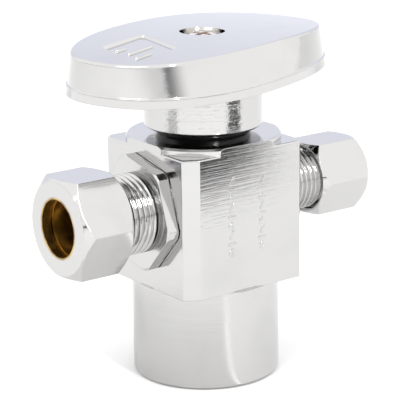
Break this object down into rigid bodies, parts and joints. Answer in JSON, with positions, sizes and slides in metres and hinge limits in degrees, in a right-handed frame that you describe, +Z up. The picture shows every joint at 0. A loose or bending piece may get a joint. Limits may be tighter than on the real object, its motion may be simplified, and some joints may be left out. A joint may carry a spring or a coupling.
{
  "type": "angle stop valve",
  "caption": "Dual-outlet quarter-turn angle stop with an oval lever handle, female threaded inlet and compression nuts on the outlets.",
  "frame": {"origin": "on the inlet and stem axis, at the open end of the inlet barrel", "axes": "+Z up the inlet and stem axis to the handle, +X along the outlets towards the small outlet"},
  "size_m": [0.0634, 0.0397, 0.0609],
  "materials": {
    "satin_chrome": "chrome plate over machined brass, satin with fine tool marks",
    "turned_chrome": "chrome plate over turned brass",
    "handle_chrome": "smooth polished chrome plate",
    "nut_chrome": "polished chrome plate",
    "ball_chrome": "mirror polished",
    "screw_steel": "zinc plated steel",
    "brass": "machined brass",
    "rubber": "black rubber",
    "ptfe": "white PTFE",
    "fibre": "dark fibre gasket"
  },
  "bodies": {
    "valve": {"valve_body": "satin_chrome", "large_outlet_connector": "satin_chrome", "connector_gasket": "fibre", "ball_seat_left": "ptfe", "ball_seat_right": "ptfe", "seat_backing_ring_left": "rubber", "seat_backing_ring_right": "rubber", "bonnet": "turned_chrome", "bonnet_gasket": "rubber", "thrust_washer": "ptfe"},
    "handle_and_ball": {"handle": "handle_chrome", "handle_screw": "screw_steel", "screw_lock_washer": "screw_steel", "stem": "brass", "stem_oring_lower": "rubber", "stem_oring_upper": "rubber", "ball": "ball_chrome"},
    "large_ferrule": {"ferrule_large": "brass"},
    "large_nut": {"compression_nut_large": "nut_chrome"},
    "small_ferrule": {"ferrule_small": "brass"},
    "small_nut": {"compression_nut_small": "nut_chrome"}
  },
  "joints": [
    {"name": "handle_turn", "type": "hinge", "parent": "valve", "child": "handle_and_ball", "pos_m": [0, 0, 0.0311], "axis": [0, 0, 1], "range_deg": [-20, 70]},
    {"name": "large_nut_travel", "type": "slide", "parent": "valve", "child": "large_ferrule", "axis": [-1, 0, 0], "range_m": [0, 0.00424]},
    {"name": "large_nut_turn", "type": "hinge", "parent": "large_ferrule", "child": "large_nut", "pos_m": [-0.026, 0, 0.0311], "axis": [-1, 0, 0], "range_deg": [0, 1440]},
    {"name": "small_nut_travel", "type": "slide", "parent": "valve", "child": "small_ferrule", "axis": [1, 0, 0], "range_m": [0, 0.00424]},
    {"name": "small_nut_turn", "type": "hinge", "parent": "small_ferrule", "child": "small_nut", "pos_m": [0.027, 0, 0.0311], "axis": [1, 0, 0], "range_deg": [0, 1440]}
  ],
  "couplings": [
    {"joint": "large_nut_travel", "follows": "large_nut_turn", "m_per_rad": 0.00016839},
    {"joint": "small_nut_travel", "follows": "small_nut_turn", "m_per_rad": 0.00016839}
  ]
}
